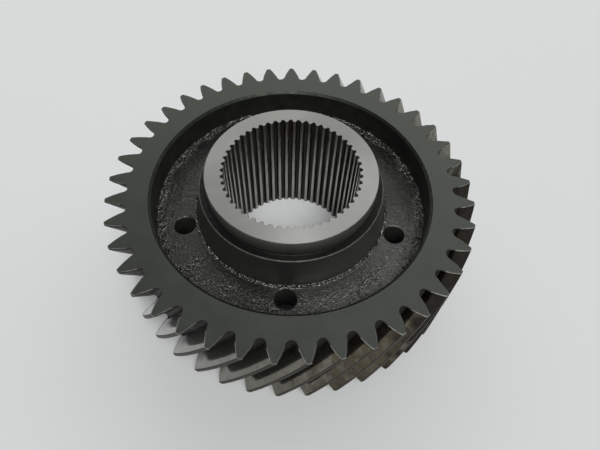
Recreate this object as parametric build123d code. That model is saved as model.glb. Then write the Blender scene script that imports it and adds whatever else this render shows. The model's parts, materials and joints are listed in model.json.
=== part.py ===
"""Helical gear with a recessed web, five web holes and a splined hub. Millimetres, +Z up.

The origin is on the axis, in the plane of the hub's lower face, which the gear stands on.
The gear is divided where such a gear is divided when it is made up from pieces: a toothed
ring, a web disc, and a splined hub whose boss carries the web on a seat of its own.
"""

import os
from math import acos, atan, cos, degrees, pi, radians, sin, sqrt, tan

from build123d import *

# Helical teeth, in the plane across the axis
TEETH = 41
NORMAL_MODULE = 4.5
HELIX_ANGLE = 29.0  # right-hand
NORMAL_PRESSURE_ANGLE = 18.66
TIP_RADIUS = 112.0
ROOT_RADIUS = 99.5
TOOTH_THICKNESS = 8.43  # along the pitch circle
FACE_WIDTH = 56.7
TOOTH_PHASE = 4.93  # degrees from +X to a tooth's middle, on the ring's upper face

# Toothed ring
RING_BORE_RADIUS = 85.2
RING_BORE_CHAMFER = 1.5

# Web disc
WEB_THICKNESS = 20.0
WEB_SEAT_RADIUS = 61.3  # where the hub carries the disc
HOLES = 5
HOLE_CIRCLE_RADIUS = 68.35
HOLE_RADIUS = 6.3
HOLE_CHAMFER = 0.5

# Splined hub and its boss
HUB_LENGTH = 82.0
HUB_RADIUS = 51.8
HUB_CORNER_FILLET = 0.6  # round corner at the foot of each end
HUB_EDGE_CHAMFER = 0.3
HUB_RISE = 14.0  # above the ring's upper face
BOSS_RADIUS = 56.1
BOSS_RISE = 2.8  # beyond the ring's faces
BOSS_DRAFT = 10.0
BOSS_EDGE_ROUND = 0.5
BOSS_FILLET = 1.6

# Internal spline: 16/32 pitch, 30 degrees, flat root
SPLINE_TEETH = 52
SPLINE_PITCH_RADIUS = 25.4 * SPLINE_TEETH / 16 / 2
SPLINE_PRESSURE_ANGLE = 30.0
SPLINE_MINOR_RADIUS = 25.4 * (SPLINE_TEETH - 1) / 16 / 2
SPLINE_MAJOR_RADIUS = 25.4 * (SPLINE_TEETH + 1.35) / 16 / 2
SPLINE_LEAD_IN = 0.8

# Heights that follow from the sizes above
RING_TOP = HUB_LENGTH - HUB_RISE
RING_BOTTOM = RING_TOP - FACE_WIDTH
MID_HEIGHT = (RING_TOP + RING_BOTTOM) / 2
WEB_TOP = MID_HEIGHT + WEB_THICKNESS / 2
WEB_BOTTOM = MID_HEIGHT - WEB_THICKNESS / 2
BOSS_TOP = RING_TOP + BOSS_RISE
BOSS_BOTTOM = RING_BOTTOM - BOSS_RISE
FLANK_POINTS = 6


def involute(angle):
    """The involute function of an angle in radians."""
    return tan(angle) - angle


def polar(radius, angle):
    """A point in the XY plane from a radius and an angle in radians."""
    return (radius * cos(angle), radius * sin(angle))


def full_round_root(base_radius, root_radius, gap_base_angle):
    """Centre and radius of the arc that fills a tooth gap's bottom and meets both flanks.

    The line from the arc's centre that is tangent to the base circle crosses the flank at
    right angles, so its spare length is the arc's radius. Halving finds the centre at
    which that radius also reaches the root circle.
    """
    low = root_radius
    high = root_radius * 1.1
    for _ in range(50):
        centre = (low + high) / 2
        roll = acos(base_radius / centre)
        spare = sqrt(centre**2 - base_radius**2) - base_radius * (roll - gap_base_angle)
        if spare > centre - root_radius:
            low = centre
        else:
            high = centre
    return centre, centre - root_radius


def toothed_face(teeth, base_radius, half_base_angle, root_radius, tip_radius, phase, round_root):
    """A face bounded by involute teeth. A tooth's middle lies at the phase, in degrees."""
    pitch = 2 * pi / teeth
    gap_base_angle = pitch / 2 - half_base_angle
    if round_root:
        centre, radius = full_round_root(base_radius, root_radius, gap_base_angle)
        roll = acos(base_radius / centre) - gap_base_angle
        start_radius = base_radius * sqrt(1 + roll**2)
    else:
        start_radius = root_radius
    steps = range(FLANK_POINTS)
    radii = [start_radius + (tip_radius - start_radius) * step / (FLANK_POINTS - 1) for step in steps]
    halves = [half_base_angle - involute(acos(base_radius / r)) for r in radii]
    edges = []
    for tooth in range(teeth):
        middle = radians(phase) + tooth * pitch
        rising = [polar(r, middle - half) for r, half in zip(radii, halves)]
        falling = [polar(r, middle + half) for r, half in zip(radii, halves)]
        next_start = polar(radii[0], middle + pitch - halves[0])
        edges.append(Spline(*rising))
        edges.append(ThreePointArc(rising[-1], polar(tip_radius, middle), falling[-1]))
        edges.append(Spline(*reversed(falling)))
        edges.append(ThreePointArc(falling[0], polar(root_radius, middle + pitch / 2), next_start))
    return make_face(Wire(edges)).face()


def revolved(*outline):
    """A solid turned about Z from an outline of (radius, height) points."""
    face = make_face(Polyline(*outline, close=True))
    return revolve(Plane.XZ * face, Axis.Z)


def edges_at(shape, radius, height):
    """The full-circle edges of a turned shape at one radius and height."""
    found = shape.edges().filter_by(GeomType.CIRCLE)
    at_radius = [edge for edge in found if abs(edge.radius - radius) < 0.01]
    return [edge for edge in at_radius if abs(edge.center().Z - height) < 0.01]


def make_toothed_ring():
    """The ring that carries the teeth, with a plain bore that is chamfered at both faces."""
    transverse_module = NORMAL_MODULE / cos(radians(HELIX_ANGLE))
    pitch_radius = transverse_module * TEETH / 2
    pressure = atan(tan(radians(NORMAL_PRESSURE_ANGLE)) / cos(radians(HELIX_ANGLE)))
    half_base_angle = TOOTH_THICKNESS / pitch_radius / 2 + involute(pressure)
    twist = degrees(FACE_WIDTH * tan(radians(HELIX_ANGLE)) / pitch_radius)
    outline = toothed_face(
        TEETH,
        pitch_radius * cos(pressure),
        half_base_angle,
        ROOT_RADIUS,
        TIP_RADIUS,
        TOOTH_PHASE - twist,
        round_root=True,
    )
    blank = Solid.extrude_linear_with_rotation(outline, (0, 0, 0), (0, 0, FACE_WIDTH), twist)
    ring = Pos(0, 0, RING_BOTTOM) * blank
    ring -= Pos(0, 0, MID_HEIGHT) * Cylinder(RING_BORE_RADIUS, FACE_WIDTH)
    mouth_radius = RING_BORE_RADIUS + RING_BORE_CHAMFER
    for height, inward in ((RING_TOP, -1), (RING_BOTTOM, 1)):
        ring -= revolved(
            (0, height),
            (mouth_radius, height),
            (RING_BORE_RADIUS, height + inward * RING_BORE_CHAMFER),
            (0, height + inward * RING_BORE_CHAMFER),
        )
    return ring


def make_web_disc():
    """The disc between ring and hub, with five holes that are chamfered at both faces."""
    disc = Cylinder(RING_BORE_RADIUS, WEB_THICKNESS) - Cylinder(WEB_SEAT_RADIUS, WEB_THICKNESS)
    disc = Pos(0, 0, MID_HEIGHT) * disc
    mouth_radius = HOLE_RADIUS + HOLE_CHAMFER
    drill = revolved(
        (0, WEB_BOTTOM),
        (mouth_radius, WEB_BOTTOM),
        (HOLE_RADIUS, WEB_BOTTOM + HOLE_CHAMFER),
        (HOLE_RADIUS, WEB_TOP - HOLE_CHAMFER),
        (mouth_radius, WEB_TOP),
        (0, WEB_TOP),
    )
    for hole in range(HOLES):
        disc -= Rot(0, 0, 270 + hole * 360 / HOLES) * Pos(HOLE_CIRCLE_RADIUS, 0, 0) * drill
    return disc


def make_splined_hub():
    """The hub: internal spline, ground ends, and a drafted boss that carries the web."""
    foot_radius = BOSS_RADIUS + (BOSS_TOP - WEB_TOP) * tan(radians(BOSS_DRAFT))
    hub = revolved(
        (SPLINE_MINOR_RADIUS, 0),
        (HUB_RADIUS, 0),
        (HUB_RADIUS, BOSS_BOTTOM),
        (BOSS_RADIUS, BOSS_BOTTOM),
        (foot_radius, WEB_BOTTOM),
        (WEB_SEAT_RADIUS, WEB_BOTTOM),
        (WEB_SEAT_RADIUS, WEB_TOP),
        (foot_radius, WEB_TOP),
        (BOSS_RADIUS, BOSS_TOP),
        (HUB_RADIUS, BOSS_TOP),
        (HUB_RADIUS, HUB_LENGTH),
        (SPLINE_MINOR_RADIUS, HUB_LENGTH),
    )
    for web_face, boss_face in ((WEB_TOP, BOSS_TOP), (WEB_BOTTOM, BOSS_BOTTOM)):
        hub = fillet(edges_at(hub, foot_radius, web_face), BOSS_FILLET)
        hub = fillet(edges_at(hub, BOSS_RADIUS, boss_face), BOSS_EDGE_ROUND)
        hub = fillet(edges_at(hub, HUB_RADIUS, boss_face), HUB_CORNER_FILLET)
    outer_edges = edges_at(hub, HUB_RADIUS, 0) + edges_at(hub, HUB_RADIUS, HUB_LENGTH)
    hub = chamfer(outer_edges, HUB_EDGE_CHAMFER)
    pressure = radians(SPLINE_PRESSURE_ANGLE)
    spaces = toothed_face(
        SPLINE_TEETH,
        SPLINE_PITCH_RADIUS * cos(pressure),
        pi / SPLINE_TEETH / 2 + involute(pressure),
        SPLINE_MINOR_RADIUS,
        SPLINE_MAJOR_RADIUS,
        180 / SPLINE_TEETH,
        round_root=False,
    )
    hub -= extrude(spaces, HUB_LENGTH)
    return hub - revolved(
        (0, 0),
        (SPLINE_MINOR_RADIUS + SPLINE_LEAD_IN, 0),
        (SPLINE_MINOR_RADIUS, SPLINE_LEAD_IN),
        (0, SPLINE_LEAD_IN),
    )


def main():
    os.makedirs("parts", exist_ok=True)
    export_step(make_toothed_ring(), "parts/toothed_ring.step")
    export_step(make_web_disc(), "parts/web_disc.step")
    export_step(make_splined_hub(), "parts/splined_hub.step")


main()
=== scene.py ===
import json
import math
import random

import bmesh
import bpy
import numpy as np
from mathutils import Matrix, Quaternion, Vector, noise
from mathutils.geometry import delaunay_2d_cdt


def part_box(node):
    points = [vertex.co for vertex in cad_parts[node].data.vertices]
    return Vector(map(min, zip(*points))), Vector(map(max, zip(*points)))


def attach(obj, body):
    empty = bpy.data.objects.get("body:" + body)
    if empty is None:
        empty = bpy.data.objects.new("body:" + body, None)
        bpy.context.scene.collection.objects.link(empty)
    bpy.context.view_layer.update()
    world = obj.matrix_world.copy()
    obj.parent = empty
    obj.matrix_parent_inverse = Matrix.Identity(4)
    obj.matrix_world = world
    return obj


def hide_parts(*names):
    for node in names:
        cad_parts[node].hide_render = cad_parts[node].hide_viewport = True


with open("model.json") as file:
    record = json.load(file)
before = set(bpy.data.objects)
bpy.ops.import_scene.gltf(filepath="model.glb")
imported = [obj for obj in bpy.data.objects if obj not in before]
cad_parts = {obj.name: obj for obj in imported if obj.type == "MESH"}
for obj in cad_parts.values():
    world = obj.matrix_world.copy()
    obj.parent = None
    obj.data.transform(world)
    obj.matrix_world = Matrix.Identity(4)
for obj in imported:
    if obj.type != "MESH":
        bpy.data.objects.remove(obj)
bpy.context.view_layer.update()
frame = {"record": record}

MM = 0.001
TAU = 2 * math.pi
rng = random.Random(41)

# ---------------------------------------------------------------- sizes, in metres

RING_LOW, RING_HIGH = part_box("toothed_ring")
WEB_LOW, WEB_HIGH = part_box("web_disc")
HUB_LOW, HUB_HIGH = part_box("splined_hub")
WEB_HOLES = next(m for m in frame["record"]["mounts"] if m["name"] == "web_holes")

# Toothed ring
TEETH = 41
TIP_RADIUS = RING_HIGH.x
ROOT_RADIUS = 99.5 * MM
PITCH_RADIUS = 105.47 * MM
BASE_RADIUS = 98.39 * MM           # circle that the flanks' involutes unwind from
HALF_BASE_ANGLE = math.radians(3.30)   # half a tooth, on that circle
HELIX_ANGLE = math.radians(29)
FACE_WIDTH = RING_HIGH.z - RING_LOW.z
TWIST = FACE_WIDTH * math.tan(HELIX_ANGLE) / PITCH_RADIUS
TOOTH_PHASE = math.radians(4.93)   # a tooth's middle on the upper face, from +X
TOOTH_EDGE = 0.28 * MM             # deburred edge round each tooth's ends
SHARP_SIDE_EDGE = 0.95 * MM        # the same, on the side that the helix leaves sharp
TOOTH_TIP_EDGE = 0.3 * MM          # broken edge between a flank and the land
FACE_CIRCLES = (88.2 * MM, 92 * MM, 97.6 * MM)   # mesh rows on the end faces

# Web disc
BORE_RADIUS = WEB_HIGH.x
BORE_CHAMFER = 1.5 * MM
SEAT_RADIUS = 61.3 * MM
HOLE_COUNT = WEB_HOLES["dims"]["count"]
HOLE_CIRCLE = WEB_HOLES["dims"]["pcd_mm"] * MM / 2
HOLE_RADIUS = WEB_HOLES["dims"]["hole_r_mm"] * MM
HOLE_CHAMFER = 0.5 * MM
HOLE_MOUTH = HOLE_RADIUS + HOLE_CHAMFER
HOLE_TURNS = [math.radians(270) + index * TAU / HOLE_COUNT for index in range(HOLE_COUNT)]
HOLES = [(HOLE_CIRCLE * math.cos(turn), HOLE_CIRCLE * math.sin(turn)) for turn in HOLE_TURNS]
WEB_FILLET = 1.2 * MM              # forged corner between web and ring
WEB_SPACING = 0.85 * MM            # between points of the forged surface
PEBBLED_FROM = SEAT_RADIUS + 0.7 * MM
CHIPPED_FROM = BORE_RADIUS - 8.7 * MM

# Hub and boss
HUB_RADIUS = 51.8 * MM
HUB_CHAMFER = 0.3 * MM
HUB_CORNER = 0.6 * MM              # round corner where the hub meets the boss's shoulder
HUB_TOP_CIRCLE = 43.6 * MM         # mesh rows on the end faces, just outside the spline
HUB_LOW_CIRCLE = 43.8 * MM
BOSS_RADIUS = 56.1 * MM
BOSS_RISE = 2.8 * MM               # beyond the ring's faces
BOSS_DRAFT = math.radians(10)
BOSS_ROUND = 0.5 * MM
BOSS_FILLET = 1.6 * MM
FORGED_REACH = 7 * MM              # height of the forged lumps on the boss

# Internal spline
SPLINE_TEETH = 52
SPLINE_PRESSURE_ANGLE = math.radians(30)
SPLINE_BASE_RADIUS = 35.746 * MM
SPLINE_MINOR = 40.48 * MM
SPLINE_MAJOR = 42.35 * MM
SPLINE_CORNER = 0.25 * MM          # small slopes at a flank's two ends
SPLINE_LAND_CUT = 0.1 * MM         # taken off each side of a crest land
SPLINE_WEAR = 0.12 * MM            # how far a crest is worn down at its sides
SPLINE_MOUTH_EDGE = 0.15 * MM      # broken edge at the upper end
SPLINE_LEAD_IN = 0.8 * MM          # chamfer at the lower end

# Points along the outlines
FLANK_POINTS = 9
TOOTH_LAND_POINTS = 3
ROOT_POINTS = 9
CREST_POINTS = 4


def involute(angle):
    """The involute function of an angle in radians."""
    return math.tan(angle) - angle


def half_width(radius, base_radius, half_base_angle):
    """Half the angle that an involute tooth takes up at a radius."""
    return half_base_angle - involute(math.acos(base_radius / radius))


def share_of(value, start, length):
    """How far a value has gone from a start over a length, from 0 to 1."""
    return min(max((value - start) / length, 0.0), 1.0)


# ---------------------------------------------------------------- outlines and rows

def gear_outline():
    """One turn of the tooth outline across the axis: angles and radii, a tooth's middle at 0.

    The arc in a gap's bottom meets both flanks, and halving finds its centre.
    """
    pitch = TAU / TEETH
    gap = pitch / 2 - HALF_BASE_ANGLE
    low, high = ROOT_RADIUS, ROOT_RADIUS * 1.1
    for _ in range(50):
        centre = (low + high) / 2
        roll = math.acos(BASE_RADIUS / centre)
        spare = math.sqrt(centre**2 - BASE_RADIUS**2) - BASE_RADIUS * (roll - gap)
        low, high = (centre, high) if spare > centre - ROOT_RADIUS else (low, centre)
    round_radius = centre - ROOT_RADIUS
    start = BASE_RADIUS * math.hypot(1, roll - gap)

    radii = list(np.linspace(start, TIP_RADIUS - TOOTH_TIP_EDGE, FLANK_POINTS))
    flank = [(half_width(r, BASE_RADIUS, HALF_BASE_ANGLE), r) for r in radii]
    land = half_width(TIP_RADIUS, BASE_RADIUS, HALF_BASE_ANGLE) - TOOTH_TIP_EDGE / TIP_RADIUS
    points = [(-a, r) for a, r in flank]
    points += [(angle, TIP_RADIUS) for angle in np.linspace(-land, land, TOOTH_LAND_POINTS)]
    points += [(a, r) for a, r in reversed(flank)]
    gap_half = pitch / 2 - flank[0][0]
    sweep = math.atan2(start * math.sin(gap_half), centre - start * math.cos(gap_half))
    for turn in np.linspace(-sweep, sweep, ROOT_POINTS + 2)[1:-1]:
        x = centre - round_radius * math.cos(turn)
        y = round_radius * math.sin(turn)
        points.append((pitch / 2 + math.atan2(y, x), math.hypot(x, y)))
    one = np.array(points)
    angles = np.concatenate([one[:, 0] + tooth * pitch for tooth in range(TEETH)])
    return angles, np.tile(one[:, 1], TEETH), len(one)


def spline_outline():
    """One turn of the internal spline: angles and radii, a crest land's middle at 0."""
    pitch = TAU / SPLINE_TEETH
    half_base = pitch / 4 + involute(SPLINE_PRESSURE_ANGLE)
    flank = []
    for r in np.linspace(SPLINE_MINOR + SPLINE_CORNER, SPLINE_MAJOR - SPLINE_CORNER, 4):
        flank.append((pitch / 2 - half_width(r, SPLINE_BASE_RADIUS, half_base), r))
    land = pitch / 2 - half_width(SPLINE_MINOR, SPLINE_BASE_RADIUS, half_base)
    land -= SPLINE_LAND_CUT / SPLINE_MINOR
    floor = flank[-1][0] + SPLINE_CORNER / SPLINE_MAJOR
    worn = SPLINE_MINOR + SPLINE_WEAR
    points = [(-land, worn), (-0.4 * land, SPLINE_MINOR), (0.4 * land, SPLINE_MINOR), (land, worn)]
    points += flank
    points += [(floor, SPLINE_MAJOR), (pitch / 2, SPLINE_MAJOR), (pitch - floor, SPLINE_MAJOR)]
    points += [(pitch - a, r) for a, r in reversed(flank)]
    one = np.array(points)
    angles = np.concatenate([one[:, 0] + tooth * pitch for tooth in range(SPLINE_TEETH)])
    return angles, np.tile(one[:, 1], SPLINE_TEETH), len(one)


def moved_in(angles, radii, distance):
    """The outline moved by a distance along its own normals, towards the axis where positive."""
    points = np.stack([radii * np.cos(angles), radii * np.sin(angles)], 1)
    along = np.roll(points, -1, 0) - np.roll(points, 1, 0)
    normal = np.stack([along[:, 1], -along[:, 0]], 1)
    normal /= np.linalg.norm(normal, axis=1)[:, None]
    points = points - normal * np.reshape(distance, (-1, 1))
    shift = np.arctan2(points[:, 1], points[:, 0]) - angles
    return angles + (shift + math.pi) % TAU - math.pi, np.hypot(points[:, 0], points[:, 1])


def row(angles, radii, height):
    """A ring of points from polar arrays and a height."""
    radii = np.broadcast_to(radii, angles.shape)
    height = np.broadcast_to(height, angles.shape)
    return np.stack([radii * np.cos(angles), radii * np.sin(angles), height], 1)


def arc(centre_radius, centre_height, size, start, end, steps):
    """Points (radius, height) along an arc of a turned profile. Angles are in degrees."""
    turn = np.radians(np.linspace(start, end, steps + 1))
    return [(centre_radius + size * math.cos(t), centre_height + size * math.sin(t)) for t in turn]


def grid_object(name, rows, paint, materials, sharp=30):
    """A closed mesh from rings of points, each joined to the next and the last to the first.

    paint gives each band between two rows its material number, or one number per column.
    """
    count = len(rows[0])
    points = np.concatenate(rows)
    column = np.arange(count)
    after = (column + 1) % count
    quads, slots = [], []
    for band, colour in enumerate(paint):
        here = band * count
        there = (band + 1) % len(rows) * count
        quads.append(np.stack([here + column, here + after, there + after, there + column], 1))
        slots.append(np.broadcast_to(colour, count))
    return finished(name, points, np.concatenate(quads).tolist(), np.concatenate(slots), materials, sharp)


def finished(name, points, faces, slots, materials, sharp):
    """Makes a mesh object with its materials, with smooth shading up to an angle."""
    mesh = bpy.data.meshes.new(name)
    mesh.from_pydata([tuple(p) for p in points], [], faces)
    for material in materials:
        mesh.materials.append(material)
    mesh.polygons.foreach_set("material_index", np.asarray(slots, dtype=np.int32))
    shell = bmesh.new()
    shell.from_mesh(mesh)
    bmesh.ops.recalc_face_normals(shell, faces=shell.faces)
    shell.to_mesh(mesh)
    shell.free()
    mesh.shade_smooth()
    mesh.set_sharp_from_angle(angle=math.radians(sharp))
    thing = bpy.data.objects.new(name, mesh)
    bpy.context.scene.collection.objects.link(thing)
    return thing


def roughness_at(points, scale, seed):
    """Signed noise at each point, about -1 to 1."""
    offset = Vector((seed * 3.7, seed * 1.3, seed * 2.1))
    return np.array([noise.noise(Vector(p) * scale + offset) for p in points])


# ---------------------------------------------------------------- materials

class Finish:
    """A Principled material and the few node helpers that its pattern needs."""

    def __init__(self, name, metallic, roughness, colour):
        self.material = bpy.data.materials.new(name)
        self.material.use_nodes = True
        self.tree = self.material.node_tree
        self.shader = self.tree.nodes["Principled BSDF"]
        self.shader.inputs["Metallic"].default_value = metallic
        self.shader.inputs["Roughness"].default_value = roughness
        self.shader.inputs["Base Color"].default_value = (*colour, 1)
        self.place = self.add("ShaderNodeTexCoord").outputs["Object"]
        self.bumps = None

    def add(self, kind, **values):
        """A new node with these settings."""
        node = self.tree.nodes.new(kind)
        for key, value in values.items():
            setattr(node, key, value)
        return node

    def feed(self, socket, value):
        """Links a socket to another, or sets it to a number or a colour."""
        if isinstance(value, bpy.types.NodeSocket):
            self.tree.links.new(value, socket)
        elif isinstance(value, tuple) and len(value) == 3 and socket.type == "RGBA":
            socket.default_value = (*value, 1)
        else:
            socket.default_value = value

    def math(self, operation, *values):
        """The result of a sum on sockets or numbers."""
        node = self.add("ShaderNodeMath", operation=operation)
        for socket, value in zip(node.inputs, values):
            self.feed(socket, value)
        return node.outputs[0]

    def stretched(self, x, y, z):
        """Places in the gear's own frame, scaled along each axis."""
        node = self.add("ShaderNodeMapping")
        self.feed(node.inputs["Vector"], self.place)
        node.inputs["Scale"].default_value = (x, y, z)
        return node.outputs[0]

    def noise(self, size, detail=2.0, vector=None, rough=0.5):
        """Noise from 0 to 1 with features of about this size in metres."""
        node = self.add("ShaderNodeTexNoise")
        self.feed(node.inputs["Vector"], vector or self.place)
        node.inputs["Scale"].default_value = 1 / size
        node.inputs["Detail"].default_value = detail
        node.inputs["Roughness"].default_value = rough
        return node.outputs["Fac"]

    def cells(self, size):
        """Rounded cells of about this size: the distance from a cell's middle, and its own number."""
        node = self.add("ShaderNodeTexVoronoi")
        self.feed(node.inputs["Vector"], self.place)
        node.inputs["Scale"].default_value = 1 / size
        split = self.add("ShaderNodeSeparateColor")
        self.feed(split.inputs[0], node.outputs["Color"])
        return node.outputs["Distance"], split.outputs[0]

    def height(self):
        """Height over the floor."""
        split = self.add("ShaderNodeSeparateXYZ")
        self.feed(split.inputs[0], self.place)
        return split.outputs["Z"]

    def ramp(self, value, low, high, low_out=0.0, high_out=1.0):
        """Straight change from low_out to high_out as the value goes from low to high."""
        node = self.add("ShaderNodeMapRange")
        self.feed(node.inputs[0], value)
        for socket, number in zip(node.inputs[1:5], (low, high, low_out, high_out)):
            socket.default_value = number
        return node.outputs[0]

    def mix(self, share, first, second):
        """A colour between two others."""
        node = self.add("ShaderNodeMix", data_type="RGBA")
        for socket, value in zip((0, 6, 7), (share, first, second)):
            self.feed(node.inputs[socket], value)
        return node.outputs[2]

    def radius(self):
        """Distance from the gear's axis."""
        flat = self.stretched(1, 1, 0)
        node = self.add("ShaderNodeVectorMath", operation="LENGTH")
        self.feed(node.inputs[0], flat)
        return node.outputs["Value"]

    def lines(self, value, size):
        """Fine lines where the value is constant: turned or ground marks."""
        joined = self.add("ShaderNodeCombineXYZ")
        self.feed(joined.inputs[0], value)
        return self.noise(size, 3.0, joined.outputs[0], 0.65)

    def towards(self, angle):
        """Share from 0 to 1 of how far a place lies towards an angle round the axis, in degrees."""
        node = self.add("ShaderNodeVectorMath", operation="DOT_PRODUCT")
        flat = self.add("ShaderNodeVectorMath", operation="NORMALIZE")
        self.feed(flat.inputs[0], self.stretched(1, 1, 0))
        self.feed(node.inputs[0], flat.outputs[0])
        turn = math.radians(angle)
        node.inputs[1].default_value = (math.cos(turn), math.sin(turn), 0)
        return self.ramp(node.outputs["Value"], -1.0, 1.0)

    def bump(self, height, distance, strength=1.0):
        """Adds a bump layer. The distance is the depth of the relief in metres."""
        node = self.add("ShaderNodeBump")
        node.inputs["Strength"].default_value = strength
        node.inputs["Distance"].default_value = distance
        self.feed(node.inputs["Height"], height)
        if self.bumps is not None:
            self.feed(node.inputs["Normal"], self.bumps)
        self.bumps = node.outputs[0]
        self.feed(self.shader.inputs["Normal"], self.bumps)

    def set(self, name, value):
        """Feeds one of the shader's own sockets."""
        self.feed(self.shader.inputs[name], value)


def ring_face_finish():
    """Dark greenish satin steel with faint turned marks, on the ring's end faces, with a painted
    reflection: lighter towards 335° and darker opposite, over random cloudy tone.
    """
    f = Finish("ring_face_steel", 0.75, 0.42, (0.075, 0.08, 0.067))
    turned = f.lines(f.radius(), 0.35 * MM)
    cloud = f.noise(14 * MM, 3.0)
    # Painted reflection: the face is painted lighter towards 335°; the cloud adds random tone.
    painted_reflection_and_tone = f.math("ADD", f.towards(335), f.ramp(cloud, 0.3, 0.7, -0.12, 0.12))
    f.set("Base Color", f.mix(painted_reflection_and_tone, (0.054, 0.059, 0.048), (0.083, 0.088, 0.076)))
    marks = f.ramp(turned, 0.2, 0.8, -0.03, 0.03)
    f.set("Roughness", f.math("ADD", marks, f.ramp(cloud, 0.3, 0.7, 0.40, 0.46)))
    f.bump(turned, 0.004 * MM, 0.6)
    return f.material


def flank_finish():
    """Ground tooth flanks: glossy grey steel with spots of old oil, and a painted reflection by side:
    lighter grey towards 160°, darker towards 340°, brown about 302° and near-black about 340°.
    """
    f = Finish("tooth_flank_steel", 0.95, 0.14, (0.3, 0.29, 0.26))
    wide = f.ramp(f.noise(9 * MM, 3.0), 0.3, 0.7, -0.05, 0.05)
    # Painted reflection: side, from the angle round the axis, sets the grey, brown and near-black tones
    # below.
    side = f.math("ADD", f.towards(340), wide)
    fine = f.ramp(f.noise(3.5 * MM, 4.0, rough=0.65), 0.40, 0.66)
    grey = f.mix(f.ramp(side, 0.25, 0.64), (0.37, 0.37, 0.36), (0.21, 0.206, 0.172))
    brown = f.mix(f.ramp(f.math("ADD", f.towards(302), wide), 0.94, 0.995), grey, (0.125, 0.108, 0.078))
    black = f.mix(f.ramp(side, 0.885, 0.945), brown, (0.026, 0.024, 0.021))
    spots = f.math("MULTIPLY", fine, f.ramp(side, 0.45, 0.80, 0.05, 0.65))
    f.set("Base Color", f.mix(spots, black, (0.060, 0.050, 0.036)))
    lines = f.lines(f.radius(), 0.25 * MM)
    marks = f.ramp(lines, 0.2, 0.8, 0.09, 0.14)
    f.set("Roughness", f.math("ADD", marks, f.ramp(fine, 0.0, 1.0, 0.0, 0.07)))
    f.bump(lines, 0.003 * MM, 0.5)
    return f.material


def dark_steel_finish(name, metallic, roughness, colour):
    """Dark steel that nothing polishes, with darker random patches: roots, far flanks, bore chamfers, and
    the shoulder, whose near-black colour is painted shade.
    """
    f = Finish(name, metallic, roughness, colour)
    patch = f.ramp(f.noise(4 * MM, 4.0, rough=0.6), 0.35, 0.65)
    f.set("Base Color", f.mix(patch, colour, tuple(0.6 * value for value in colour)))
    f.set("Roughness", f.ramp(patch, 0.0, 1.0, roughness - 0.05, roughness + 0.05))
    f.set("Specular IOR Level", 0.25)
    f.bump(f.noise(0.6 * MM, 3.0), 0.012 * MM, 0.6)
    return f.material


def land_finish():
    """Tooth lands: dull turned steel with dark brown patches of old oil, over a painted reflection: light
    near 155°, near-black over most of the ring.
    """
    f = Finish("tooth_land_steel", 0.8, 0.5, (0.3, 0.285, 0.25))
    patch = f.ramp(f.noise(4 * MM, 4.0, rough=0.6), 0.38, 0.66)
    # Painted reflection: the lands are painted light near 155° and near-black elsewhere.
    side = f.ramp(f.towards(335), 0.05, 0.40)
    base_tone = f.mix(side, (0.18, 0.175, 0.16), (0.036, 0.030, 0.024))
    f.set("Base Color", f.mix(f.math("MULTIPLY", patch, 0.7), base_tone, (0.035, 0.027, 0.019)))
    fine = f.noise(0.5 * MM, 3.0, f.stretched(1, 1, 0.35))
    f.set("Roughness", f.ramp(fine, 0.3, 0.7, 0.44, 0.58))
    f.bump(fine, 0.01 * MM, 0.5)
    return f.material


def worn_edge_finish(name, level):
    """Edges rubbed to dull bright steel, unevenly. On the hub, the bright tone along the boss's rounded
    brow is partly a painted highlight.
    """
    f = Finish(name, 0.5, 0.5, (level, level, 0.95 * level))
    patch = f.ramp(f.noise(2.2 * MM, 4.0, rough=0.65), 0.36, 0.60)
    dull = (0.5 * level, 0.5 * level, 0.46 * level)
    f.set("Base Color", f.mix(patch, dull, (level, level, 0.93 * level)))
    f.bump(f.noise(0.4 * MM, 2.0), 0.03 * MM, 0.5)
    return f.material


def dark_turned_finish():
    """Near-black turned steel: the boss and the outside of the hub, with painted light: lighter on the
    sides towards 345° and 200°, and lighter just under the ground face, fading to painted shade down
    towards the shoulder.
    """
    f = Finish("dark_turned_steel", 0.7, 0.42, (0.045, 0.045, 0.042))
    height = f.height()
    marks = f.lines(f.math("ADD", height, f.radius()), 0.3 * MM)
    cloud = f.noise(11 * MM, 3.0)
    dark = f.mix(f.ramp(cloud, 0.3, 0.7), (0.058, 0.058, 0.055), (0.078, 0.078, 0.073))
    # Painted light: lighter sides towards 345° and 200°.
    painted_light_right = f.ramp(f.towards(345), 0.66, 0.98)
    painted_light_left = f.ramp(f.towards(200), 0.7, 1.0, 0.0, 0.4)
    dark = f.mix(f.math("MAXIMUM", painted_light_right, painted_light_left), dark, (0.13, 0.13, 0.122))
    # Painted light under the ground face, fading to painted shade lower down.
    top = HUB_HIGH.z
    f.set("Base Color", f.mix(f.ramp(height, top - 10.5 * MM, top), dark, (0.25, 0.25, 0.235)))
    f.set("Roughness", f.ramp(marks, 0.2, 0.8, 0.36, 0.50))
    f.bump(marks, 0.006 * MM, 0.6)
    return f.material


def bored_finish():
    """Machined walls that the light hardly reaches, the ring's bore and the web's holes, painted
    near-black as painted shade.
    """
    f = Finish("bored_steel", 0.6, 0.5, (0.03, 0.03, 0.028))
    marks = f.lines(f.math("ADD", f.height(), f.radius()), 0.3 * MM)
    cloud = f.noise(8 * MM, 3.0)
    # Painted shade: near-black tones, with random cloudy variation.
    f.set("Base Color", f.mix(f.ramp(cloud, 0.3, 0.7), (0.026, 0.027, 0.024), (0.048, 0.049, 0.044)))
    f.set("Roughness", f.ramp(marks, 0.2, 0.8, 0.42, 0.56))
    f.bump(marks, 0.006 * MM, 0.6)
    return f.material


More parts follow.
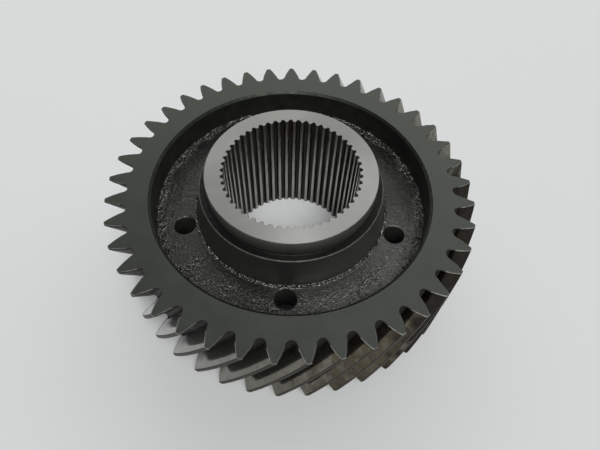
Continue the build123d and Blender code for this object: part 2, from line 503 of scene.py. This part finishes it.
def forged_finish():
    """Black forging scale: satin, painted lighter towards 310° as a painted reflection; pebbled in
    patches, beside the ring and at the foot, where bumps glint and some cells carry painted glints, with
    painted shade between them.
    """
    f = Finish("forged_scale_steel", 0.85, 0.34, (0.06, 0.06, 0.057))
    grain = f.noise(0.9 * MM, 4.0, rough=0.7)
    distance, number = f.cells(0.72 * MM)
    cloud = f.ramp(f.noise(13 * MM, 2.0), 0.40, 0.62)
    front = f.ramp(f.towards(268), 0.45, 0.85, 0.25, 1.0)
    away = f.math("MULTIPLY", f.ramp(f.radius(), PEBBLED_FROM, PEBBLED_FROM + 9 * MM, 0.0, 0.8), front)
    wavy = f.math("ADD", f.radius(), f.ramp(cloud, 0.0, 1.0, -1.5 * MM, 1.5 * MM))
    beside_ring = f.ramp(wavy, CHIPPED_FROM + 3 * MM, CHIPPED_FROM + 5.5 * MM)
    from_foot = f.math("ABSOLUTE", f.math("SUBTRACT", f.radius(), SEAT_RADIUS - 0.5 * MM))
    foot = f.ramp(from_foot, 0.4 * MM, 1.5 * MM, 1.0, 0.0)
    rough = f.math("MAXIMUM", f.math("MULTIPLY", cloud, away), f.math("MAXIMUM", beside_ring, foot))
    satin = f.mix(f.ramp(grain, 0.35, 0.7), (0.038, 0.039, 0.036), (0.080, 0.081, 0.074))
    # Painted reflection: the satin is painted lighter towards 310°.
    satin = f.mix(f.ramp(f.towards(310), 0.80, 1.0), satin, (0.125, 0.126, 0.117))
    # Painted glints: random cells painted bright, and painted shade in the gaps between cells.
    chips = f.mix(f.ramp(number, 0.35, 1.0), (0.026, 0.026, 0.024), (0.37, 0.37, 0.35))
    painted_glints_and_gap_shade = f.mix(f.ramp(distance, 0.45, 0.75), chips, (0.018, 0.018, 0.016))
    f.set("Base Color", f.mix(rough, satin, painted_glints_and_gap_shade))
    f.set("Roughness", f.ramp(grain, 0.3, 0.7, 0.24, 0.42))
    crinkle = f.noise(1.7 * MM, 3.0, rough=0.6)
    f.bump(f.math("MULTIPLY", crinkle, f.ramp(away, 0.0, 0.7, 0.12, 1.0)), 1.1 * MM, 0.8)
    f.bump(f.math("MULTIPLY", grain, f.ramp(rough, 0.0, 1.0, 0.25, 1.0)), 0.35 * MM, 0.9)
    f.bump(f.math("MULTIPLY", f.math("SUBTRACT", 0.7, distance), rough), 0.45 * MM, 0.9)
    return f.material


def ground_face_finish():
    """Bright ground steel with fine circular marks, on the hub's end faces, painted lighter towards 300°
    as a painted highlight, over random cloudy tone.
    """
    f = Finish("ground_face_steel", 1.0, 0.36, (0.5, 0.49, 0.46))
    marks = f.lines(f.radius(), 0.22 * MM)
    cloud = f.noise(16 * MM, 3.0)
    # Painted highlight: the face is painted lighter towards 300°; the cloud adds random tone.
    painted_highlight_and_tone = f.math("ADD", f.ramp(f.towards(300), 0.35, 1.0), f.ramp(cloud, 0.3, 0.7, -0.15, 0.15))
    f.set("Base Color", f.mix(painted_highlight_and_tone, (0.285, 0.28, 0.262), (0.44, 0.433, 0.41)))
    f.set("Roughness", f.ramp(marks, 0.2, 0.8, 0.30, 0.42))
    f.set("Anisotropic", 0.7)
    f.set("Anisotropic Rotation", 0.25)
    tangent = f.add("ShaderNodeTangent", direction_type="RADIAL", axis="Z")
    f.set("Tangent", tangent.outputs[0])
    f.bump(marks, 0.003 * MM, 0.6)
    return f.material


def spline_land_finish():
    """Crest lands of the spline: scored along the axis, brighter towards the top and darker towards the
    bottom.
    """
    f = Finish("spline_land_steel", 1.0, 0.24, (0.5, 0.5, 0.47))
    scores = f.noise(0.35 * MM, 3.0, f.stretched(1, 1, 0.03), 0.6)
    scored = f.ramp(scores, 0.35, 0.65)
    darker_low = f.mix(scored, (0.20, 0.20, 0.185), (0.37, 0.365, 0.345))
    bright = f.mix(scored, (0.42, 0.42, 0.39), (0.75, 0.74, 0.70))
    # Darker towards the bottom, lighter towards the top.
    f.set("Base Color", f.mix(f.ramp(f.height(), 5 * MM, 65 * MM), darker_low, bright))
    f.set("Roughness", f.ramp(scores, 0.3, 0.7, 0.20, 0.34))
    f.bump(scores, 0.01 * MM, 0.6)
    return f.material


def spline_flank_finish():
    """Flanks and floors of the spline: dark, browned in places, lighter away from the back, darkest low
    at the back.
    """
    f = Finish("spline_flank_steel", 0.85, 0.34, (0.12, 0.115, 0.1))
    scores = f.noise(0.4 * MM, 3.0, f.stretched(1, 1, 0.04), 0.6)
    oil = f.ramp(f.noise(10 * MM, 3.0, f.stretched(1, 1, 0.6)), 0.40, 0.64)
    base_tone = f.mix(f.ramp(scores, 0.35, 0.65), (0.05, 0.05, 0.046), (0.12, 0.12, 0.11))
    browned = f.mix(oil, base_tone, (0.07, 0.055, 0.036))
    # Lighter away from the back, and darkest low at the back.
    back = f.ramp(f.towards(90), 0.60, 0.95)
    side_toned = f.mix(f.ramp(back, 0.0, 1.0, 0.65, 0.0), browned, (0.19, 0.185, 0.165))
    low = f.math("MULTIPLY", back, f.ramp(f.height(), 20 * MM, 68 * MM, 0.85, 0.0))
    f.set("Base Color", f.mix(low, side_toned, (0.016, 0.015, 0.013)))
    f.set("Roughness", f.ramp(scores, 0.3, 0.7, 0.30, 0.46))
    f.bump(scores, 0.012 * MM, 0.6)
    return f.material


# ---------------------------------------------------------------- pieces

def make_toothed_ring(face, chamfer, flank, back_flank, root, land, edge, bore):
    """The ring: helical teeth with deburred ends, flat faces, and a chamfered plain bore.

    Its columns run round the outline, so a tooth's flanks, land and root keep theirs at every
    height, and a column's number tells which finish it has.
    """
    materials = [face, chamfer, flank, back_flank, root, land, edge, bore]
    FACE, CHAMFER, FLANK, BACK, ROOT, LAND, EDGE, BORE = range(8)
    angles, radii, per_tooth = gear_outline()
    angles = angles + TOOTH_PHASE - TWIST
    low, high = RING_LOW.z, RING_HIGH.z

    land_start = FLANK_POINTS
    land_end = land_start + TOOTH_LAND_POINTS - 1
    back_start = land_end + 1
    back_end = back_start + FLANK_POINTS - 1
    tooth_columns = np.full(per_tooth, FLANK)
    tooth_columns[land_start:land_end] = LAND
    tooth_columns[back_start:back_end] = BACK
    tooth_columns[[land_start - 1, land_end]] = ROOT
    tooth_columns[back_end:] = ROOT
    columns = np.tile(tooth_columns, TEETH)
    line_columns = np.full(per_tooth, ROOT)
    line_columns[2:back_end - 1] = EDGE
    edge_columns = line_columns.copy()
    edge_columns[back_start:back_end] = BACK
    line_columns, edge_columns = np.tile(line_columns, TEETH), np.tile(edge_columns, TEETH)

    def turned(height):
        return angles + TWIST * (height - low) / FACE_WIDTH

    def deburr(side):
        """Width of the deburred edge at each point: wide on a sharp flank, slight in the root."""
        upper = side == high
        width = np.full(per_tooth, TOOTH_EDGE)
        width[back_start:back_end + 1] = SHARP_SIDE_EDGE if upper else TOOTH_EDGE
        width[:land_start] = TOOTH_EDGE if upper else SHARP_SIDE_EDGE
        width[back_end + 1:] = 0.5 * TOOTH_EDGE
        width = np.tile(width, TEETH)
        for _ in range(2):
            width = (np.roll(width, 1) + width + np.roll(width, -1)) / 3
        places = row(turned(side), radii, side)
        return width * (1 + 0.35 * roughness_at(places, 1 / (3 * MM), 5))

    rows, paint = [], []

    def add(points, colour):
        rows.append(points)
        paint.append(colour)

    def add_end(height, inward, outside_first):
        """The end face: from the bore chamfer out to the teeth, or the other way round.

        The deburred edge is three strips: the cut itself between two thin worn lines.
        """
        cut = deburr(height)
        chamfer_foot = height + inward * BORE_CHAMFER
        steps = [(row(turned(chamfer_foot), BORE_RADIUS, chamfer_foot), CHAMFER)]
        for radius in (BORE_RADIUS + BORE_CHAMFER, *FACE_CIRCLES):
            steps.append((row(turned(height), radius, height), FACE))
        for share, colour in ((0.0, line_columns), (0.22, edge_columns), (0.78, line_columns)):
            depth = height + inward * cut * share
            steps.append((row(*moved_in(turned(height), radii, cut * (1 - share)), depth), colour))
        steps.append((row(turned(height + inward * cut), radii, height + inward * cut), columns))
        points = [p for p, _ in steps]
        colours = [c for _, c in steps]
        if outside_first:
            points.reverse()
            colours = colours[-2::-1] + [BORE]
        for p, c in zip(points, colours):
            add(p, c)

    add_end(low, 1, False)
    past_edge = SHARP_SIDE_EDGE * 1.5
    for height in np.linspace(low + past_edge, high - past_edge, 26):
        add(row(turned(height), radii, height), columns)
    add_end(high, -1, True)
    for height in np.linspace(high - BORE_CHAMFER, low + BORE_CHAMFER, 14)[1:-1]:
        add(row(turned(height), BORE_RADIUS, height), BORE)
    return grid_object("toothed_ring_body", rows, paint, materials, 28)


def web_relief(x, y):
    """Height of the forged surface over the web's plane, in metres, at one place.

    It is fine-grained near the hub, pebbled in patches, chipped beside the ring, and flat at
    the edge of each hole.
    """
    radius = math.hypot(x, y)
    place = Vector((x, y, 0.0))
    beside_ring = share_of(radius, CHIPPED_FROM, 4.0 * MM)
    patch = min(max(0.5 + 1.2 * noise.noise(place / (13 * MM)), 0.0), 1.0)
    pebbled = patch * share_of(radius, PEBBLED_FROM, 8 * MM)
    chips = noise.noise(place / (2.4 * MM)) + 0.6 * noise.noise(place / (1.3 * MM) + Vector((7, 3, 1)))
    height = 0.08 * chips + 0.22 * pebbled * chips + 0.55 * beside_ring * abs(chips)
    height += 0.12 * noise.noise(place / (16 * MM))
    clear = min(share_of(math.hypot(x - h[0], y - h[1]), HOLE_MOUTH, 0.9 * MM) for h in HOLES)
    return height * clear * MM


def corner_rise(x, y):
    """Extra height of the rough rounded corner where the web meets the ring's wall."""
    size = WEB_FILLET * (1 + 0.3 * noise.noise(Vector((x, y, 0.0)) / (9 * MM) + Vector((3, 9, 4))))
    corner = min(math.hypot(x, y) - (BORE_RADIUS - size), size)
    if corner <= 0:
        return 0.0
    return size - math.sqrt(max(size**2 - corner**2, 0.0))


def circle(x, y, radius, angles):
    """Points on a circle round a place, at these angles."""
    return [Vector((x + radius * math.cos(a), y + radius * math.sin(a))) for a in angles]


def even_angles(count):
    """Angles that divide a full turn evenly."""
    return [TAU * step / count for step in range(count)]


def web_triangles(seat_angles, spacing):
    """Triangles over the web, between its two circles and round its holes.

    Close circles of points carry the rounded corner at the ring, and loose points fill the rest.
    """
    rim_angles = even_angles(720)
    loops = [circle(0, 0, BORE_RADIUS, rim_angles), circle(0, 0, SEAT_RADIUS, seat_angles)]
    loops += [circle(x, y, HOLE_MOUTH, even_angles(72)) for x, y in HOLES]
    points, edges, starts = [], [], []
    for loop in loops:
        first = len(points)
        starts.append(first)
        points += loop
        edges += [(first + step, first + (step + 1) % len(loop)) for step in range(len(loop))]
    for inset in (0.12, 0.35, 0.7, 1.15, 1.7):
        points += circle(0, 0, BORE_RADIUS - inset * MM, rim_angles)
    limit = BORE_RADIUS - 2.1 * MM
    line_spacing = 0.866 * spacing     # of a grid of even triangles
    for j in range(int(2 * limit / line_spacing)):
        for i in range(int(2 * limit / spacing) + 1):
            x = -limit + (i + 0.5 * (j % 2) + rng.uniform(-0.2, 0.2)) * spacing
            y = -limit + (j + rng.uniform(-0.2, 0.2)) * line_spacing
            if not SEAT_RADIUS + 0.5 * spacing < math.hypot(x, y) < limit:
                continue
            if min(math.hypot(x - h[0], y - h[1]) for h in HOLES) < HOLE_MOUTH + 0.4 * spacing:
                continue
            points.append(Vector((x, y)))
    found = delaunay_2d_cdt(points, edges, [], 0, 1e-9, False)
    flat = [tuple(p) for p in found[0]]
    kept = []
    for face in found[2]:
        x = sum(flat[i][0] for i in face) / 3
        y = sum(flat[i][1] for i in face) / 3
        in_hole = min(math.hypot(x - h[0], y - h[1]) for h in HOLES) < HOLE_MOUTH * 0.999
        if not all(starts[1] <= i < starts[2] for i in face) and not in_hole:
            kept.append(tuple(face))
    return flat, kept, starts, [len(loop) for loop in loops]


def make_web_disc(seat_angles, forged, drilled):
    """The web: two rough forged faces with rounded corners at the ring, and drilled holes.

    The underside is the upper face mirrored in x, which brings the holes onto themselves. The
    hub's outline isn't quite even, so twins finds each seat point's mirrored partner.
    """
    FORGED, DRILLED = range(2)
    flat, faces, starts, sizes = web_triangles(seat_angles, WEB_SPACING)
    apart = np.abs((math.pi - seat_angles[:, None] - seat_angles[None, :] + math.pi) % TAU - math.pi)
    twins = apart.argmin(1)
    rise = [web_relief(x, y) + corner_rise(x, y) for x, y in flat]
    points = [(x, y, WEB_HIGH.z + h) for (x, y), h in zip(flat, rise)]
    points += [(-x, y, WEB_LOW.z - h) for (x, y), h in zip(flat, rise)]
    under = len(flat)
    solid = list(faces) + [tuple(i + under for i in face) for face in faces]
    slots = [FORGED] * len(solid)

    def below(loop, step):
        """The underside's point that lies under a point of the upper face's loop."""
        if loop == 1:
            return under + starts[1] + twins[step % sizes[1]]
        twin = loop if loop == 0 else 2 + (HOLE_COUNT - (loop - 2)) % HOLE_COUNT
        return under + starts[twin] + (sizes[loop] // 2 - step) % sizes[loop]

    for loop in (0, 1):
        for step in range(sizes[loop]):
            here, there = starts[loop] + step, starts[loop] + (step + 1) % sizes[loop]
            wall = (here, below(loop, step), below(loop, step + 1), there)
            solid.append(wall if loop == 0 else wall[::-1])
            slots.append(DRILLED)

    for number, (x, y) in enumerate(HOLES):
        loop = 2 + number
        size = sizes[loop]
        rings = [[starts[loop] + s for s in range(size)]]
        for height in (WEB_HIGH.z - HOLE_CHAMFER, WEB_LOW.z + HOLE_CHAMFER):
            rings.append(list(range(len(points), len(points) + size)))
            points += [(*p, height) for p in circle(x, y, HOLE_RADIUS, even_angles(size))]
        rings.append([below(loop, s) for s in range(size)])
        for upper, lower, colour in zip(rings, rings[1:], (FORGED, DRILLED, FORGED)):
            for s in range(size):
                t = (s + 1) % size
                solid.append((upper[s], upper[t], lower[t], lower[s]))
                slots.append(colour)
    return finished("web_disc_body", points, solid, slots, [forged, drilled], 50)


def make_splined_hub(ground, land, flank, turned, shoulder, forged, edge):
    """The hub: splined bore, ground ends, and the drafted boss that runs out into the web."""
    materials = [ground, land, flank, turned, shoulder, forged, edge]
    GROUND, LAND, FLANK, TURNED, SHOULDER, FORGED, EDGE = range(7)
    angles, radii, per_tooth = spline_outline()
    low, high = HUB_LOW.z, HUB_HIGH.z
    boss_top = RING_HIGH.z + BOSS_RISE
    foot = BOSS_RADIUS + (boss_top - WEB_HIGH.z) * math.tan(BOSS_DRAFT)
    reach = math.tan(math.pi / 4 - BOSS_DRAFT / 2)
    draft = math.degrees(BOSS_DRAFT)

    outer = [(HUB_RADIUS - HUB_CHAMFER, high, EDGE), (HUB_RADIUS, high - HUB_CHAMFER, TURNED)]
    below_edge = np.linspace(high - 1.0 * MM, boss_top + HUB_CORNER, 8)[:-1]
    outer += [(HUB_RADIUS, h, TURNED) for h in below_edge]
    corner = arc(HUB_RADIUS + HUB_CORNER, boss_top + HUB_CORNER, HUB_CORNER, 180, 270, 5)
    outer += [(r, h, SHOULDER) for r, h in corner]
    brow = arc(BOSS_RADIUS - BOSS_ROUND * reach, boss_top - BOSS_ROUND, BOSS_ROUND, 90, draft, 5)
    outer += [(r, h, EDGE) for r, h in brow]
    curve = arc(foot + BOSS_FILLET * reach, WEB_HIGH.z + BOSS_FILLET, BOSS_FILLET, 180 + draft, 270, 6)
    first, last = brow[-1], curve[0]
    for share in np.linspace(0, 1, 40)[1:-1]:
        r, h = (start + (end - start) * share for start, end in zip(first, last))
        outer.append((r, h, TURNED))
    outer += [(r, h, FORGED) for r, h in curve]
    outer.append((SEAT_RADIUS, WEB_HIGH.z, TURNED))

    rows, paint = [], []

    def add(points, colour):
        rows.append(points)
        paint.append(colour)

    columns = np.full(per_tooth, FLANK)
    columns[:CREST_POINTS] = LAND
    columns[-1] = LAND
    columns = np.tile(columns, SPLINE_TEETH)

    def rough(points, upper):
        """Forged lumps on the lowest part of the boss and the foot, as on the web beside it."""
        out = points.copy()
        for k, (x, y, z) in enumerate(points):
            above_web = z - WEB_HIGH.z if upper else WEB_LOW.z - z
            fade = 1 - share_of(above_web, 0.0, FORGED_REACH)
            if fade:
                lift = web_relief(x if upper else -x, y) * fade
                out[k, 2] += lift if upper else -lift
        return out

    for height in np.linspace(low, high, 30)[1:-1]:
        add(row(angles, radii, height), columns)
    add(row(angles, radii, high - SPLINE_MOUTH_EDGE), EDGE)
    rim_angles, rim_radii = moved_in(angles, radii, -SPLINE_MOUTH_EDGE)
    add(row(rim_angles, rim_radii, high), GROUND)
    add(row(angles, HUB_TOP_CIRCLE, high), GROUND)
    for r, h, colour in outer:
        add(rough(row(angles, r, h), True), colour)
    # The same profile mirrored and walked the other way: a band's colour is on its far row
    lower = [(r, RING_LOW.z + RING_HIGH.z - h, c) for r, h, c in outer if h <= boss_top + HUB_CORNER]
    colours = [c for _, _, c in lower[-2::-1]] + [TURNED]
    for (r, h, _), colour in zip(reversed(lower), colours):
        add(rough(row(angles, r, h), False), colour)
    add(row(angles, HUB_RADIUS, low + 2.5 * MM), TURNED)
    add(row(angles, HUB_RADIUS, low + HUB_CHAMFER), EDGE)
    add(row(angles, HUB_RADIUS - HUB_CHAMFER, low), GROUND)
    add(row(angles, HUB_LOW_CIRCLE, low), GROUND)
    lead_in = SPLINE_MINOR + SPLINE_LEAD_IN
    least = 0.1 * MM
    add(row(angles, np.maximum(radii, lead_in) + least, low), EDGE)
    add(row(angles, radii, low + np.maximum(lead_in - radii, least)), columns)
    return grid_object("splined_hub_body", rows, paint, materials, 30)


# ---------------------------------------------------------------- the gear

# Hub edges: rubbed wear, and along the boss's rounded brow a painted highlight as well.
hub_edge_and_highlight = worn_edge_finish("hub_edge_steel", 0.16)
forged = forged_finish()
bored = bored_finish()
ring = make_toothed_ring(
    ring_face_finish(),
    dark_steel_finish("ring_chamfer_steel", 0.9, 0.5, (0.048, 0.053, 0.043)),
    flank_finish(),
    dark_steel_finish("far_flank_steel", 0.1, 0.5, (0.034, 0.033, 0.030)),
    dark_steel_finish("tooth_root_steel", 0.1, 0.6, (0.022, 0.021, 0.019)),
    land_finish(),
    worn_edge_finish("tooth_edge_steel", 0.30),
    bored,
)
web = make_web_disc(spline_outline()[0], forged, bored)
hub = make_splined_hub(
    ground_face_finish(),
    spline_land_finish(),
    spline_flank_finish(),
    dark_turned_finish(),
    # The shoulder's near-black colour is painted shade in the corner under the hub's wall.
    dark_steel_finish("shoulder_shade_steel", 0.9, 0.45, (0.026, 0.026, 0.024)),
    forged,
    hub_edge_and_highlight,
)
for piece, node, slot in (
    (ring, "toothed_ring", "ring_steel"),
    (web, "web_disc", "web_steel"),
    (hub, "splined_hub", "hub_steel"),
):
    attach(piece, "root")
    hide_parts(node)

# ---------------------------------------------------------------- floor, light and camera

FLOOR_HALF = 3.0
BACKDROP = 0.62                    # how bright the wall beyond the floor looks
ROOM_LIGHT = 0.03                  # the even part of the room's light
ROOM_PATCHES = (                   # direction, half its width in degrees, strength
    ((0.66, 0.66, 0.37), 38, 0.95),
    ((-0.16, 0.91, 0.37), 38, 1.3),
    ((-0.66, 0.66, 0.37), 38, 0.6),
    ((0.2, 0.59, 0.79), 38, 0.45),
    ((0.12, -0.5, 1.0), 20, 12.6),
)
CAMERA_PLACE = (5.66 * MM, -187.3 * MM, 297.82 * MM)
CAMERA_AIM = (6.29 * MM, -29.64 * MM, RING_HIGH.z)
CAMERA_ROLL = math.radians(2.727)


def make_floor():
    """A plain pale floor."""
    f = Finish("pale_floor", 0.0, 0.6, (0.7, 0.7, 0.7))
    f.set("Base Color", f.mix(f.noise(0.4, 2.0), (0.68, 0.685, 0.685), (0.72, 0.72, 0.715)))
    f.bump(f.noise(0.6 * MM, 2.0), 0.01 * MM, 0.3)
    mesh = bpy.data.meshes.new("floor")
    corners = [(x * FLOOR_HALF, y * FLOOR_HALF, 0) for x, y in ((-1, -1), (1, -1), (1, 1), (-1, 1))]
    mesh.from_pydata(corners, [], [(0, 1, 2, 3)])
    mesh.materials.append(f.material)
    floor = bpy.data.objects.new("floor", mesh)
    bpy.context.scene.collection.objects.link(floor)
    return floor


def make_room(base, patches):
    """A plain room as the world: an even light, with broad soft patches in a few directions.

    Only the camera sees the plain backdrop in its place.
    """
    world = bpy.data.worlds.new("soft_room")
    world.use_nodes = True
    tree = world.node_tree
    place = tree.nodes.new("ShaderNodeTexCoord").outputs["Generated"]
    total = None
    for direction, spread, strength in patches:
        dot = tree.nodes.new("ShaderNodeVectorMath")
        dot.operation = "DOT_PRODUCT"
        tree.links.new(place, dot.inputs[0])
        dot.inputs[1].default_value = Vector(direction).normalized()
        patch = tree.nodes.new("ShaderNodeMapRange")
        patch.interpolation_type = "SMOOTHSTEP"
        tree.links.new(dot.outputs["Value"], patch.inputs[0])
        ends = (math.cos(math.radians(spread)), 1.0, 0.0, strength)
        for socket, value in zip(patch.inputs[1:5], ends):
            socket.default_value = value
        joined = tree.nodes.new("ShaderNodeMath")
        tree.links.new(patch.outputs[0], joined.inputs[0])
        if total is None:
            joined.inputs[1].default_value = base
        else:
            tree.links.new(total, joined.inputs[1])
        total = joined.outputs[0]
    background = tree.nodes["Background"]
    background.inputs["Color"].default_value = (0.98, 1.0, 1.0, 1)
    path = tree.nodes.new("ShaderNodeLightPath")
    seen = tree.nodes.new("ShaderNodeMix")
    tree.links.new(path.outputs["Is Camera Ray"], seen.inputs[0])
    tree.links.new(total, seen.inputs[2])
    seen.inputs[3].default_value = BACKDROP
    tree.links.new(seen.outputs[0], background.inputs["Strength"])
    return world


make_floor()
bpy.context.scene.world = make_room(ROOM_LIGHT, ROOM_PATCHES)
bpy.context.scene.view_settings.view_transform = "Standard"

camera = bpy.data.objects.new("camera", bpy.data.cameras.new("camera"))
camera.data.lens = 28.8
camera.data.sensor_width = 36
camera.location = CAMERA_PLACE
aim = (Vector(CAMERA_AIM) - camera.location).to_track_quat("-Z", "Y")
camera.rotation_euler = (aim @ Quaternion((0, 0, 1), CAMERA_ROLL)).to_euler()
bpy.context.scene.collection.objects.link(camera)
bpy.context.scene.camera = camera
